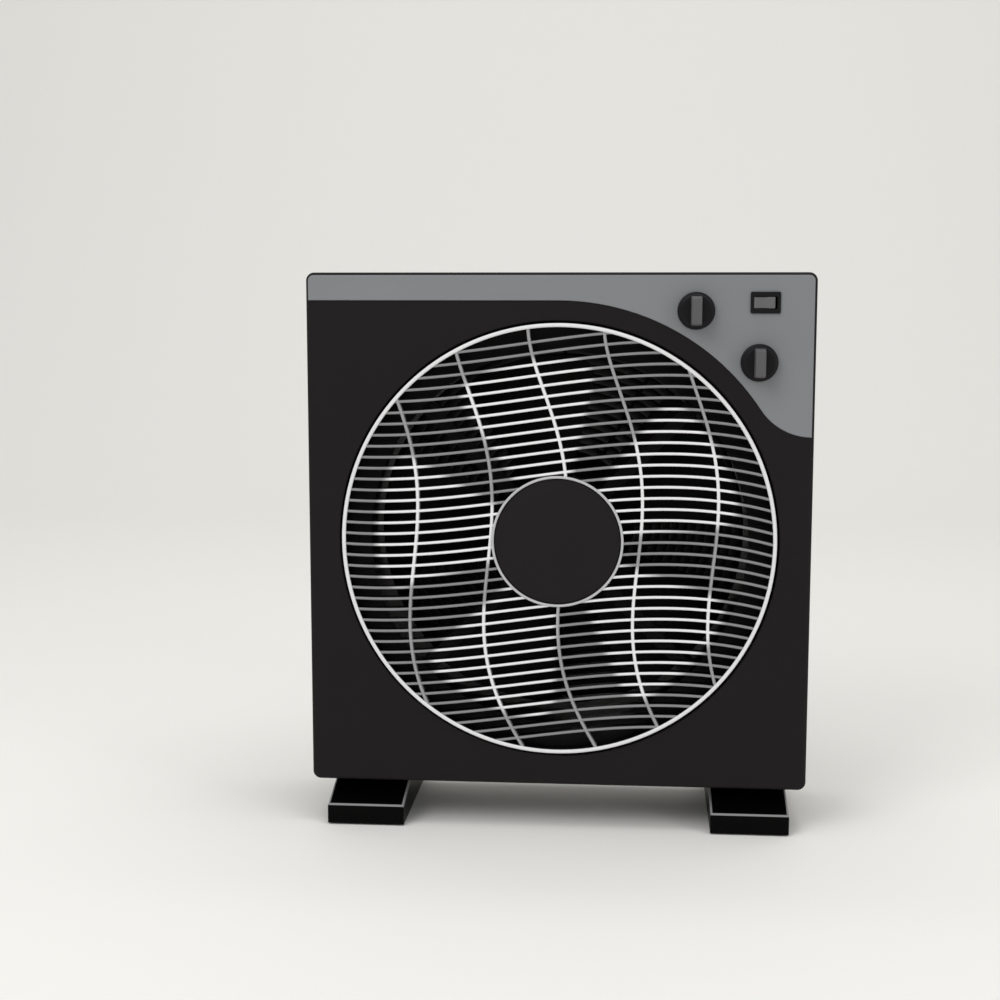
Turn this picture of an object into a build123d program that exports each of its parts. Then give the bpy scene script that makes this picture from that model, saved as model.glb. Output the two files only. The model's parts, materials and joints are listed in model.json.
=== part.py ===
"""Box fan with a turning louver wheel, standing on two tilting feet.

Millimetres. +Z is up, +X is to the right seen from the front and the front faces -Y.
The origin is the middle of the ground the feet stand on.
"""

import math
import os

from build123d import *

# ---------------------------------------------------------------- driving dimensions

# body
body_width = 370.0
body_height = 381.0
body_top = 415.0
body_corner = 6.0
wall = 2.5
face_thick = 3.2
front_y = -58.0
split_y = -20.0
rear_y = 60.0
edge_round = 3.0
lip_depth = 3.0
lip_thick = 1.3
fit_gap = 0.1

# louver wheel
louver_drop = 196.3  # louver centre below the body's top
louver_radius = 160.0
ring_width = 2.9
ring_front = -60.5
ring_back = -49.5
slat_front = -59.5
slat_back = -51.5
slat_count = 37
slat_pitch = 8.15
slat_thick = 1.9
slat_first = 148.6
slat_lean = [(-150.0, -13.7), (-75.0, -10.2), (0.0, 0.0), (75.0, 6.6), (150.0, -0.7)]
rib_count = 5
rib_pitch = 55.15
rib_middle = 7.35
rib_thick = 2.3
rib_lean = [
    (150.0, -29.0),
    (120.0, -20.2),
    (90.0, -11.5),
    (35.0, 0.0),
    (-58.0, -7.0),
    (-102.0, -1.5),
    (-148.0, 18.0),
]
hub_radius = 48.7
hub_rim = 1.9
hub_face = -57.0
hub_back = -54.0
hub_boss_radius = 8.0
hub_boss_back = -46.0
cap_front = -63.5
cap_rim_y = -59.0
cap_skirt = 2.0
louver_shaft_radius = 3.0
louver_shaft_end = -34.0

# round duct
pocket_gap = 1.5
pocket_back = -46.0
duct_radius = 140.0
mouth_round = 1.0
duct_end = 14.0
duct_step = 2.5

# louver drive
bracket_front = -43.0
bracket_back = -40.0
bracket_hub = 33.0
bracket_arms = 4
arm_width = 10.0
bracket_screw_circle = 134.5
bracket_boss_radius = 6.5
bracket_boss_back = -28.0
louver_motor_radius = 25.0
louver_motor_back = -27.0
louver_lid_back = -26.0
louver_motor_boss = 6.0
louver_screw_circle = 29.0

# fan and motor
blade_count = 5
blade_radius = 135.0
blade_middle = -3.5
blade_thick = 2.2
blade_root = 26.0
blade_half_angle = 23.5
blade_corner = 16.0
blade_first_angle = 29.5
root_rise = 9.0
root_camber = 1.5
tip_rise = 16.0
tip_camber = 5.0
fan_hub_radius = 30.0
fan_hub_front = -14.0
fan_hub_back = 13.0
fan_boss_radius = 9.0
nut_front = -22.0
nut_radius = 12.0
shaft_radius = 4.0
shaft_front = -20.0
shaft_back = 56.0
pin_y = 6.0
pin_radius = 1.5
pin_length = 17.0
motor_radius = 42.0
motor_front = 16.0
motor_mid = 37.0
motor_back = rear_y
shield_wall = 1.6
bush_radius = 8.0
bush_length = 8.0
stator_radius = 39.9
shield_bore = 40.0
stator_bore = 20.5
stator_front = 28.0
stator_back = 46.0
winding_inner = 22.5
winding_outer = 33.0
winding_length = 6.0
rotor_radius = 20.0
through_circle = 36.6
through_radius = 1.6
mount_circle = 30.0
mount_screw_depth = 5.0

# rear guard
guard_radius = 154.0
guard_opening = 142.0
guard_thick = 3.0
guard_rings = 13
guard_ring_pitch = 7.0
guard_ring_start = 139.0
guard_ring_thick = 2.0
guard_ring_front = 54.0
guard_ring_flare = 7.5  # each ring is a cone that opens towards the front
guard_plate_radius = 49.0
guard_spokes = 12
guard_spoke_width = 2.6
guard_screw_circle = 148.0
guard_boss_depth = 10.0

# control panel
panel_inset = 1.8
panel_proud = 1.0
panel_recess = 1.2
panel_gap = 0.15
panel_round = 0.6
panel_arc = 176.0  # lower edge, concentric with the louver
panel_sweep = 56.3
timer_at = (99.0, 27.4)  # right of the middle, below the top
speed_at = (144.5, 64.4)
rocker_at = (148.2, 21.6)
bush_hole = 4.7
knob_radius = 13.5
knob_round = 1.2
knob_front = -68.0
knob_back = -59.6
knob_pocket_radius = 9.5
knob_pocket_depth = 2.8
grip_width = 8.0
grip_length = 21.0
grip_corner = 1.5
grip_front = -77.0
stem_radius = 3.0
stem_front = -70.0
stem_back = -48.0
timer_size = 38.0
timer_back = -30.0
speed_size = 32.0
speed_back = -34.0
rocker_width = 21.4
rocker_height = 15.5
rocker_bezel = 1.5
rocker_gap = 0.4
rocker_body_width = 18.6
rocker_body_height = 12.6
rocker_back = -38.0
rocker_pocket_width = 16.6
rocker_pocket_height = 8.8
rocker_pocket_back = -50.0
rocker_pivot_y = -57.0
rocker_rest = -8.0
button_half = 7.4
button_height = 8.0
button_pin_radius = 1.2
button_pin_length = 1.2

# screws
post_radius = 5.0
post_side = 171.0
post_mid_side = 175.8
post_end = 13.0
post_floor = 8.0
screw_radius = 1.5
screw_head_radius = 2.9
screw_head = 2.2
recess_length = 3.6
recess_width = 0.9
recess_floor = 1.2
thread_depth = 16.0
head_gap = 0.4
thread_gap = 0.05
press_gap = 0.02
bush_gap = 0.04
running_gap = 0.05
boss_radius = 4.0

# feet and tilt
foot_x = 144.0
foot_width = 58.0
foot_half_length = 62.0
foot_base = 1.2
foot_front_height = 16.0
foot_top = 30.6
foot_top_half = 10.0
foot_round = 1.6
foot_cavity_half = 41.0
foot_wall = 2.8
ear_thick = 8.0
ear_radius = 12.0
pivot_z = 46.0
ear_gap = 1.2
lug_thick = 7.0
slot_half = 16.0
tilt_bolt_radius = 3.0
tilt_running = 0.05
bolt_head_radius = 5.0
bolt_head = 4.0
nut_length = 5.0
washer_radius = 10.0
washer_thick = 1.0
pad_width = 44.0
pad_length = 14.0
pad_y = 51.0
pad_sunk = 1.0
pad_gap = 0.1

# gland and bend sleeve of the mains cord
gland_place = (150.0, 78.0)
gland_hole = 6.0
gland_depth = 8.0
gland_flange = 8.0
gland_flange_thick = 2.5
gland_sleeve = 4.8
gland_round = 0.8
gland_bore = 3.2
gland_end = 77.0

# carrying grip in the back
grip_half = 55.0
grip_floor = 384.0
grip_mouth_top = 400.0
grip_ceiling = 409.0
grip_depth_y = 30.0
grip_wall = 2.0

# ---------------------------------------------------------------- derived places

body_bottom = body_top - body_height
body_mid = body_top - body_height / 2
louver_z = body_top - louver_drop
centre = (0.0, louver_z)
louver_axis = Axis((0, 0, louver_z), (0, 1, 0))
opening_radius = louver_radius + pocket_gap
panel_top = body_top - panel_inset
panel_side = body_width / 2 - panel_inset
recess_y = front_y + panel_recess
panel_front = front_y - panel_proud
timer_place = (timer_at[0], body_top - timer_at[1])
speed_place = (speed_at[0], body_top - speed_at[1])
rocker_place = (rocker_at[0], body_top - rocker_at[1])
post_places = [
    (-post_side, body_top - post_end),
    (post_side, body_top - post_end),
    (-post_side, body_bottom + post_end),
    (post_side, body_bottom + post_end),
    (-post_mid_side, louver_z),
    (post_mid_side, louver_z),
]

os.makedirs("parts", exist_ok=True)


# ---------------------------------------------------------------- helpers


def facing(y):
    """Upright plane at depth y: local x is +X, local y is +Z, and extrusions go to the front."""
    return Plane.XZ.offset(-y)


def drum(radius, front, back, places=(centre,), mode=Mode.ADD):
    """Round solid along Y from front to back, at each (x, z) place."""
    with BuildSketch(facing(back)) as disc:
        with Locations(*places):
            Circle(radius)
    extrude(disc.sketch, amount=back - front, mode=mode)


def block(width, height, front, back, places=(centre,), mode=Mode.ADD, corner=0.0):
    """Upright block from front to back, at each (x, z) place."""
    with BuildSketch(facing(back)) as outline:
        with Locations(*places):
            if corner > 0:
                RectangleRounded(width, height, corner)
            else:
                Rectangle(width, height)
    extrude(outline.sketch, amount=back - front, mode=mode)


def tube(outer, inner, front, back, places=(centre,)):
    """Hollow round solid along Y."""
    with BuildSketch(facing(back)) as ring:
        with Locations(*places):
            Circle(outer)
            Circle(inner, mode=Mode.SUBTRACT)
    extrude(ring.sketch, amount=back - front)


def around(radius, count, first_angle):
    """Places on a circle about the louver centre."""
    spots = []
    for step in range(count):
        spot = Vector(radius, 0).rotate(Axis.Z, first_angle + step * 360 / count)
        spots.append((spot.X, louver_z + spot.Y))
    return spots


def pan_screws(places, head_back, tip, outward):
    """Pan head screws along Y. The head starts at head_back and rises outward, +1 to the rear."""
    if outward > 0:
        drum(screw_radius, tip, head_back, places)
        drum(screw_head_radius, head_back, head_back + screw_head, places)
        block(recess_length, recess_width, head_back + recess_floor, head_back + screw_head, places, Mode.SUBTRACT)
        block(recess_width, recess_length, head_back + recess_floor, head_back + screw_head, places, Mode.SUBTRACT)
    else:
        drum(screw_radius, head_back, tip, places)
        drum(screw_head_radius, head_back - screw_head, head_back, places)
        block(recess_length, recess_width, head_back - screw_head, head_back - recess_floor, places, Mode.SUBTRACT)
        block(recess_width, recess_length, head_back - screw_head, head_back - recess_floor, places, Mode.SUBTRACT)


def save(part, name):
    """Label one finished piece and write its STEP file."""
    part.label = name
    export_step(part, f"parts/{name}.step")


# ---------------------------------------------------------------- housing


def body_slab(front, back, inset, mode=Mode.ADD):
    """Rounded rectangle of the body's outline, inset all round."""
    with BuildSketch(facing(back)) as outline:
        with Locations((0, body_mid)):
            RectangleRounded(body_width - 2 * inset, body_height - 2 * inset, body_corner - inset)
    extrude(outline.sketch, amount=back - front, mode=mode)


def panel_slab(front, back, gap, mode=Mode.ADD):
    """Panel outline: a strip along the top that sweeps down round the louver at the right."""
    side = panel_side - gap
    top = panel_top - gap
    arc = panel_arc + gap
    arc_end = Vector(0, arc).rotate(Axis.Z, -panel_sweep)
    heading = Vector(1, 0).rotate(Axis.Z, -panel_sweep)
    flare = (side - arc_end.X) / heading.Y * -1
    corner_z = louver_z + arc_end.Y - flare * (1 - heading.X)
    with BuildSketch(facing(back)) as outline:
        with BuildLine():
            Line((-side, top), (-side, louver_z + arc))
            Line((-side, louver_z + arc), (0, louver_z + arc))
            edge = CenterArc(centre, arc, 90, -panel_sweep)
            TangentArc(edge @ 1, (side, corner_z), tangent=edge % 1)
            Line((side, corner_z), (side, top))
            Line((side, top), (-side, top))
        make_face()
        top_corners = outline.vertices().group_by(Axis.Y)[-1]
        fillet(top_corners, body_corner - panel_inset - gap)
    extrude(outline.sketch, amount=back - front, mode=mode)


with BuildPart() as front_housing:
    body_slab(front_y, split_y, 0)
    fillet(front_housing.faces().sort_by(Axis.Y)[0].edges(), edge_round)
    body_slab(front_y + face_thick, split_y, wall, Mode.SUBTRACT)
    drum(opening_radius + duct_step, front_y + edge_round, pocket_back + duct_step)
    drum(duct_radius + duct_step, pocket_back, duct_end)
    drum(opening_radius, front_y - 1, pocket_back, mode=Mode.SUBTRACT)
    rims = front_housing.edges().filter_by(GeomType.CIRCLE)
    mouth = rims.filter_by(lambda edge: abs(edge.radius - opening_radius) < fit_gap)
    fillet(mouth.sort_by(Axis.Y)[0], mouth_round)
    drum(duct_radius, pocket_back - 1, duct_end + 1, mode=Mode.SUBTRACT)
    drum(post_radius, front_y + face_thick - fit_gap, split_y - fit_gap, post_places)
    drum(screw_radius + thread_gap, split_y - thread_depth, split_y, post_places, Mode.SUBTRACT)
    bracket_places = around(bracket_screw_circle, bracket_arms, 45)
    drum(bracket_boss_radius, bracket_back, bracket_boss_back, bracket_places)
    drum(screw_radius + thread_gap, bracket_back - 1, bracket_boss_back - 2, bracket_places, Mode.SUBTRACT)
    panel_slab(front_y - 1, recess_y, 0, Mode.SUBTRACT)
    knob_places = [timer_place, speed_place]
    drum(bush_hole, front_y - 1, front_y + face_thick + 1, knob_places, Mode.SUBTRACT)
    block(
        rocker_body_width + rocker_gap,
        rocker_body_height + rocker_gap,
        front_y - 1,
        front_y + face_thick + 1,
        [rocker_place],
        Mode.SUBTRACT,
    )

with BuildPart() as rear_housing:
    body_slab(split_y, rear_y, 0)
    fillet(rear_housing.faces().sort_by(Axis.Y)[-1].edges(), edge_round)
    body_slab(split_y, rear_y - wall, wall, Mode.SUBTRACT)
    # lip that centres the front shell
    body_slab(split_y, split_y + lip_depth, wall / 2)
    body_slab(split_y - lip_depth, split_y + lip_depth, wall + fit_gap)
    body_slab(split_y - lip_depth, split_y + lip_depth, wall + fit_gap + lip_thick, Mode.SUBTRACT)
    # posts that take the housing screws from the back
    drum(post_radius, split_y + fit_gap, rear_y - fit_gap, post_places)
    drum(screw_head_radius + head_gap, split_y + post_floor, rear_y + 1, post_places, Mode.SUBTRACT)
    drum(screw_radius + 2 * thread_gap, split_y, split_y + post_floor, post_places, Mode.SUBTRACT)
    # opening and bosses for the rear guard
    guard_screw_places = around(guard_screw_circle, 6, 30)
    drum(boss_radius, rear_y - guard_boss_depth, rear_y - wall, guard_screw_places)
    drum(guard_opening, rear_y - 2 * guard_boss_depth, rear_y + 1, mode=Mode.SUBTRACT)
    drum(screw_radius + thread_gap, rear_y - guard_boss_depth + 1, rear_y + 1, guard_screw_places, Mode.SUBTRACT)
    # grip: a pocket behind a lip, open to the back
    with BuildSketch(facing(rear_y - wall)):
        with Locations((0, (grip_floor + grip_ceiling) / 2)):
            Rectangle(2 * grip_half + 2 * grip_wall, grip_ceiling - grip_floor + 2 * grip_wall)
    extrude(amount=rear_y - wall - grip_depth_y + grip_wall)
    with BuildSketch(facing(rear_y - wall)):
        with Locations((0, (grip_floor + grip_ceiling) / 2)):
            Rectangle(2 * grip_half, grip_ceiling - grip_floor)
    extrude(amount=rear_y - wall - grip_depth_y, mode=Mode.SUBTRACT)
    mouth_mid = (grip_floor + grip_mouth_top) / 2
    block(
        2 * grip_half,
        grip_mouth_top - grip_floor,
        rear_y - wall - 1,
        rear_y + 1,
        [(0, mouth_mid)],
        Mode.SUBTRACT,
        6.0,
    )
    # clevis lugs and slots for the feet
    for side in (-1, 1):
        for lean in (-1, 1):
            lug_x = side * foot_x + lean * (ear_thick / 2 + ear_gap + lug_thick / 2)
            with BuildSketch(Plane.YZ.offset(lug_x)):
                with Locations((0, (body_bottom + wall + pivot_z) / 2)):
                    Rectangle(2 * ear_radius, pivot_z - body_bottom - wall + 1)
                with Locations((0, pivot_z)):
                    Circle(ear_radius)
            extrude(amount=lug_thick / 2, both=True)
        with BuildSketch(Plane.YZ.offset(side * foot_x)):
            with Locations((0, body_bottom)):
                Rectangle(2 * slot_half, 4 * wall)
        extrude(amount=ear_thick / 2 + ear_gap, both=True, mode=Mode.SUBTRACT)
        with BuildSketch(Plane.YZ.offset(side * foot_x)):
            with Locations((0, pivot_z)):
                Circle(tilt_bolt_radius + tilt_running)
        extrude(amount=2 * lug_thick + ear_thick, both=True, mode=Mode.SUBTRACT)
    # hole for the cord gland
    drum(gland_hole, rear_y - wall - 1, rear_y + 1, [gland_place], Mode.SUBTRACT)

with BuildPart() as control_panel:
    panel_slab(panel_front, recess_y, panel_gap)
    fillet(control_panel.faces().sort_by(Axis.Y)[0].edges(), panel_round)
    drum(bush_hole, panel_front - 1, recess_y + 1, [timer_place, speed_place], Mode.SUBTRACT)
    block(
        rocker_body_width + rocker_gap,
        rocker_body_height + rocker_gap,
        panel_front - 1,
        recess_y + 1,
        [rocker_place],
        Mode.SUBTRACT,
    )

with BuildPart() as rear_guard:
    with BuildSketch(facing(rear_y + guard_thick)):
        with Locations(centre):
            Circle(guard_radius)
            Circle(guard_opening - 1, mode=Mode.SUBTRACT)
            Circle(guard_plate_radius)
    extrude(amount=guard_thick)
    for ring in range(guard_rings):
        inner = guard_ring_start - (ring + 1) * guard_ring_pitch
        with BuildSketch(Plane.XY.offset(louver_z)) as ring_section:
            with BuildLine():
                Polyline(
                    (inner, rear_y + guard_thick),
                    (inner + guard_ring_thick, rear_y + guard_thick),
                    (inner + guard_ring_thick + guard_ring_flare, guard_ring_front),
                    (inner + guard_ring_flare, guard_ring_front),
                    close=True,
                )
            make_face()
        revolve(ring_section.sketch, axis=louver_axis)
    spoke_length = guard_opening - guard_plate_radius
    spoke_mid = (guard_opening + guard_plate_radius) / 2 - 0.5
    with BuildSketch(facing(rear_y + guard_thick)):
        with Locations(centre):
            with PolarLocations(spoke_mid, guard_spokes):
                Rectangle(spoke_length, guard_spoke_width)
    extrude(amount=rear_y + guard_thick - guard_ring_front)
    drum(motor_radius + 1, guard_ring_front - 1, rear_y, mode=Mode.SUBTRACT)
    drum(screw_radius + 2 * thread_gap, rear_y - 1, rear_y + guard_thick + 1, guard_screw_places, Mode.SUBTRACT)
    mount_places = around(mount_circle, 4, 45)
    drum(screw_radius + 2 * thread_gap, rear_y - 1, rear_y + guard_thick + 1, mount_places, Mode.SUBTRACT)

save(front_housing.part, "front_housing")
save(rear_housing.part, "rear_housing")
save(control_panel.part, "control_panel")
save(rear_guard.part, "rear_guard")

with BuildPart() as housing_screws:
    pan_screws(post_places, split_y + post_floor, split_y - thread_depth + 1, 1)
save(housing_screws.part, "housing_screws")

with BuildPart() as rear_guard_screws:
    pan_screws(guard_screw_places, rear_y + guard_thick, rear_y - guard_boss_depth + 2, 1)
save(rear_guard_screws.part, "rear_guard_screws")

with BuildPart() as cord_gland:
    drum(gland_hole - fit_gap, rear_y - gland_depth, rear_y + gland_flange_thick, [gland_place])
    drum(gland_flange, rear_y, rear_y + gland_flange_thick, [gland_place])
    drum(gland_flange, rear_y - gland_depth, rear_y - wall, [gland_place])
    drum(gland_sleeve, rear_y, gland_end, [gland_place])
    fillet(cord_gland.faces().sort_by(Axis.Y)[-1].edges(), gland_round)
    drum(gland_bore, rear_y - gland_depth - 1, gland_end + 1, [gland_place], Mode.SUBTRACT)
save(cord_gland.part, "cord_gland")


# ---------------------------------------------------------------- louver wheel


def slat(level):
    """One long curved slat: a spline through the lean points, thickened up and down."""
    half = slat_thick / 2
    upper = [(x, louver_z + level + lean + half) for x, lean in slat_lean]
    lower = [(x, louver_z + level + lean - half) for x, lean in slat_lean]
    reach = louver_radius
    start = upper[0][1]
    finish = upper[-1][1]
    with BuildLine() as outline:
        Spline(*upper)
        Line(upper[-1], (reach, finish))
        Line((reach, finish), (reach, finish - slat_thick))
        Line((reach, finish - slat_thick), lower[-1])
        Spline(*lower)
        Line(lower[0], (-reach, start - slat_thick))
        Line((-reach, start - slat_thick), (-reach, start))
        Line((-reach, start), upper[0])
    make_face(outline.edges())


def rib(x):
    """One upright curved rib."""
    half = rib_thick / 2
    left = [(x + lean - half, louver_z + z) for z, lean in rib_lean]
    right = [(x + lean + half, louver_z + z) for z, lean in rib_lean]
    with BuildLine() as outline:
        Spline(*left)
        Line(left[-1], right[-1])
        Spline(*right)
        Line(left[0], right[0])
    make_face(outline.edges())


with BuildPart() as louver_wheel:
    with BuildSketch(facing(slat_back)) as lattice:
        for row in range(slat_count):
            slat(slat_first - row * slat_pitch)
        for column in range(rib_count):
            rib(rib_middle + (column - rib_count // 2) * rib_pitch)
        with Locations(centre):
            Circle(louver_radius - ring_width / 2, mode=Mode.INTERSECT)
            Circle(hub_radius - hub_rim / 2, mode=Mode.SUBTRACT)
    extrude(amount=slat_back - slat_front)
    tube(louver_radius, louver_radius - ring_width, ring_front, ring_back)
    tube(hub_radius, hub_radius - hub_rim, ring_front, slat_back)
    drum(hub_radius - hub_rim / 2, hub_face, hub_back)
    drum(hub_boss_radius, hub_back, hub_boss_back)
    drum(louver_shaft_radius + press_gap, hub_back - 1, hub_boss_back + 1, mode=Mode.SUBTRACT)
    drum(screw_radius + thread_gap, hub_face - 1, hub_back, mode=Mode.SUBTRACT)
save(louver_wheel.part, "louver_wheel")

with BuildPart() as hub_cap:
    cap_radius = hub_radius - hub_rim - fit_gap
    with BuildSketch(Plane.XY.offset(louver_z)):
        with BuildLine():
            Polyline(
                (0, cap_front),
                (0, cap_rim_y),
                (cap_radius - cap_skirt, cap_rim_y),
                (cap_radius - cap_skirt, hub_face),
                (cap_radius, hub_face),
                (cap_radius, cap_rim_y),
            )
            TangentArc((0, cap_front), (cap_radius, cap_rim_y), tangent=(1, 0))
        make_face()
    revolve(axis=louver_axis)
save(hub_cap.part, "hub_cap")

with BuildPart() as louver_shaft:
    drum(louver_shaft_radius, hub_back, louver_shaft_end)
    drum(screw_radius + thread_gap, hub_back - 1, hub_back + 6, mode=Mode.SUBTRACT)
save(louver_shaft.part, "louver_shaft")

with BuildPart() as louver_screw:
    drum(screw_head_radius, hub_face - 1.5, hub_face)
    drum(screw_radius, hub_face, hub_back + 5)
save(louver_screw.part, "louver_screw")


# ---------------------------------------------------------------- louver drive

with BuildPart() as louver_bracket:
    with BuildSketch(facing(bracket_back)):
        with Locations(centre):
            Circle(bracket_hub)
            with PolarLocations(bracket_screw_circle / 2, bracket_arms, 45):
                Rectangle(bracket_screw_circle, arm_width)
        with Locations(*bracket_places):
            Circle(arm_width / 2 - 0.6)
    extrude(amount=bracket_back - bracket_front)
    drum(louver_motor_boss + fit_gap, bracket_front - 1, bracket_back + 1, mode=Mode.SUBTRACT)
    drum(screw_radius + 2 * thread_gap, bracket_front - 1, bracket_back + 1, bracket_places, Mode.SUBTRACT)
    motor_ear_places = around(louver_screw_circle, 2, 0)
    drum(screw_radius + thread_gap, bracket_front - 1, bracket_back + 1, motor_ear_places, Mode.SUBTRACT)
save(louver_bracket.part, "louver_bracket")

with BuildPart() as louver_bracket_screws:
    pan_screws(bracket_places, bracket_front, bracket_back + 8, -1)
save(louver_bracket_screws.part, "louver_bracket_screws")

with BuildPart() as louver_motor_body:
    drum(louver_motor_radius, bracket_back, louver_motor_back)
    drum(louver_motor_radius - 1, bracket_back + 5, louver_motor_back + 1, mode=Mode.SUBTRACT)
    block(2 * louver_screw_circle, 8.0, bracket_back, bracket_back + 1.5)
    drum(boss_radius, bracket_back, bracket_back + 1.5, motor_ear_places)
    drum(louver_motor_boss, bracket_front - 1, bracket_back)
    drum(screw_radius + 2 * thread_gap, bracket_back - 1, bracket_back + 2, motor_ear_places, Mode.SUBTRACT)
    drum(louver_shaft_radius + running_gap, bracket_front - 2, louver_shaft_end + 1, mode=Mode.SUBTRACT)
save(louver_motor_body.part, "louver_motor_body")

with BuildPart() as louver_motor_lid:
    drum(louver_motor_radius, louver_motor_back, louver_lid_back)
save(louver_motor_lid.part, "louver_motor_lid")

with BuildPart() as louver_motor_screws:
    pan_screws(motor_ear_places, bracket_back + 1.5, bracket_front, 1)
save(louver_motor_screws.part, "louver_motor_screws")


# ---------------------------------------------------------------- fan rotor

def blade_section(x, rise, camber):
    """Bent strip across the blade at radius x, wider than the blade's outline."""
    half_chord = 1.1 * x * math.tan(math.radians(blade_half_angle))
    half = blade_thick / 2
    low = blade_middle + rise
    high = blade_middle - rise
    crown = blade_middle - camber
    plane = Plane(origin=(x, 0, louver_z), x_dir=(0, 0, -1), z_dir=(1, 0, 0))
    with BuildSketch(plane) as section:
        with BuildLine():
            ThreePointArc((-half_chord, low - half), (0, crown - half), (half_chord, high - half))
            Line((half_chord, high - half), (half_chord, high + half))
            ThreePointArc((half_chord, high + half), (0, crown + half), (-half_chord, low + half))
            Line((-half_chord, low + half), (-half_chord, low - half))
        make_face()
    return section.sketch


with BuildPart() as one_blade:
    root_section = blade_section(blade_root, root_rise, root_camber)
    tip_section = blade_section(blade_radius + 2, tip_rise, tip_camber)
    loft([root_section, tip_section], ruled=True)
    outline_plane = Plane((0, blade_middle + 2 * tip_rise, louver_z), x_dir=(1, 0, 0), z_dir=(0, -1, 0))
    with BuildSketch(outline_plane) as blade_outline:
        with BuildLine():
            tip_low = Vector(blade_radius, 0).rotate(Axis.Z, -blade_half_angle)
            tip_high = Vector(blade_radius, 0).rotate(Axis.Z, blade_half_angle)
            Line((0, 0), tip_low)
            ThreePointArc(tip_low, (blade_radius, 0), tip_high)
            Line(tip_high, (0, 0))
        make_face()
        corners = blade_outline.vertices().group_by(Axis.X)[-1]
        fillet(corners, blade_corner)
    extrude(blade_outline.sketch, amount=4 * tip_rise, mode=Mode.INTERSECT)


with BuildPart() as fan_blade:
    drum(fan_hub_radius, fan_hub_front, fan_hub_back)
    fillet(fan_blade.faces().sort_by(Axis.Y)[0].edges(), 5)
    drum(fan_hub_radius - 2.5, fan_hub_front + 4, fan_hub_back, mode=Mode.SUBTRACT)
    drum(fan_boss_radius, fan_hub_front + 1, fan_hub_back - 1)
    for step in range(blade_count):
        add(one_blade.part.rotate(louver_axis, -blade_first_angle - step * 360 / blade_count))
    drum(fan_hub_radius - 2.5, fan_hub_front + 4, fan_hub_back - 1, mode=Mode.SUBTRACT)
    drum(fan_boss_radius, fan_hub_front + 1, fan_hub_back - 1)
    drum(shaft_radius + press_gap, fan_hub_front - 1, fan_hub_back + 1, mode=Mode.SUBTRACT)
    with BuildSketch(Plane.YZ.offset(-fan_boss_radius - 1)):
        with Locations((pin_y, louver_z)):
            Circle(pin_radius + press_gap)
    extrude(amount=2 * fan_boss_radius + 2, mode=Mode.SUBTRACT)
save(fan_blade.part, "fan_blade")

with BuildPart() as blade_nut:
    drum(nut_radius, nut_front, fan_hub_front)
    fillet(blade_nut.faces().sort_by(Axis.Y)[0].edges(), 3)
    drum(shaft_radius + press_gap, shaft_front, fan_hub_front + 1, mode=Mode.SUBTRACT)
save(blade_nut.part, "blade_nut")

with BuildPart() as rotor_shaft:
    drum(shaft_radius, shaft_front, shaft_back)
    with BuildSketch(Plane.YZ.offset(-shaft_radius - 1)):
        with Locations((pin_y, louver_z)):
            Circle(pin_radius + press_gap)
    extrude(amount=2 * shaft_radius + 2, mode=Mode.SUBTRACT)
save(rotor_shaft.part, "rotor_shaft")

with BuildPart() as drive_pin:
    with BuildSketch(Plane.YZ.offset(-pin_length / 2)):
        with Locations((pin_y, louver_z)):
            Circle(pin_radius)
    extrude(amount=pin_length)
save(drive_pin.part, "drive_pin")

with BuildPart() as rotor_core:
    tube(rotor_radius, shaft_radius + press_gap, stator_front, stator_back)
save(rotor_core.part, "rotor_core")


# ---------------------------------------------------------------- fan motor

through_places = around(through_circle, 4, 0)

with BuildPart() as motor_front_shield:
    drum(motor_radius, motor_front, motor_mid)
    fillet(motor_front_shield.faces().sort_by(Axis.Y)[0].edges(), 4)
    drum(shield_bore, motor_front + shield_wall, motor_mid, mode=Mode.SUBTRACT)
    drum(bush_radius + shield_wall, motor_front, motor_front + bush_length + 1)
    drum(bush_radius, motor_front + 1, motor_front + bush_length + 2, mode=Mode.SUBTRACT)
    drum(shaft_radius + 1, motor_front - 1, motor_front + 2, mode=Mode.SUBTRACT)
    drum(through_radius + thread_gap, motor_front - 1, motor_mid, through_places, Mode.SUBTRACT)
save(motor_front_shield.part, "motor_front_shield")

with BuildPart() as motor_rear_shield:
    drum(motor_radius, motor_mid, motor_back)
    drum(shield_bore, motor_mid, motor_back - shield_wall, mode=Mode.SUBTRACT)
    drum(bush_radius + shield_wall, motor_back - bush_length - 2, motor_back)
    drum(bush_radius, motor_back - bush_length - 3, motor_back - 2, mode=Mode.SUBTRACT)
    drum(boss_radius, motor_back - mount_screw_depth - 2, motor_back, mount_places)
    drum(screw_radius + thread_gap, motor_back - mount_screw_depth, motor_back + 1, mount_places, Mode.SUBTRACT)
    drum(through_radius + thread_gap, motor_mid, motor_back + 1, through_places, Mode.SUBTRACT)
save(motor_rear_shield.part, "motor_rear_shield")

with BuildPart() as stator_core:
    tube(stator_radius, stator_bore, stator_front, stator_back)
    drum(through_radius + thread_gap, stator_front - 1, stator_back + 1, through_places, Mode.SUBTRACT)
save(stator_core.part, "stator_core")

with BuildPart() as stator_windings:
    tube(winding_outer, winding_inner, stator_front - winding_length, stator_front)
    tube(winding_outer, winding_inner, stator_back, stator_back + winding_length)
save(stator_windings.part, "stator_windings")

with BuildPart() as motor_front_bush:
    tube(bush_radius, shaft_radius + bush_gap, motor_front + 1, motor_front + 1 + bush_length)
save(motor_front_bush.part, "motor_front_bush")

with BuildPart() as motor_rear_bush:
    tube(bush_radius, shaft_radius + bush_gap, motor_back - bush_length - 2, motor_back - 2)
save(motor_rear_bush.part, "motor_rear_bush")

with BuildPart() as motor_through_bolts:
    drum(through_radius, motor_front - 1.6, motor_back - 0.2, through_places)
    drum(2.8, motor_front - 1.6, motor_front, through_places)
save(motor_through_bolts.part, "motor_through_bolts")

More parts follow.
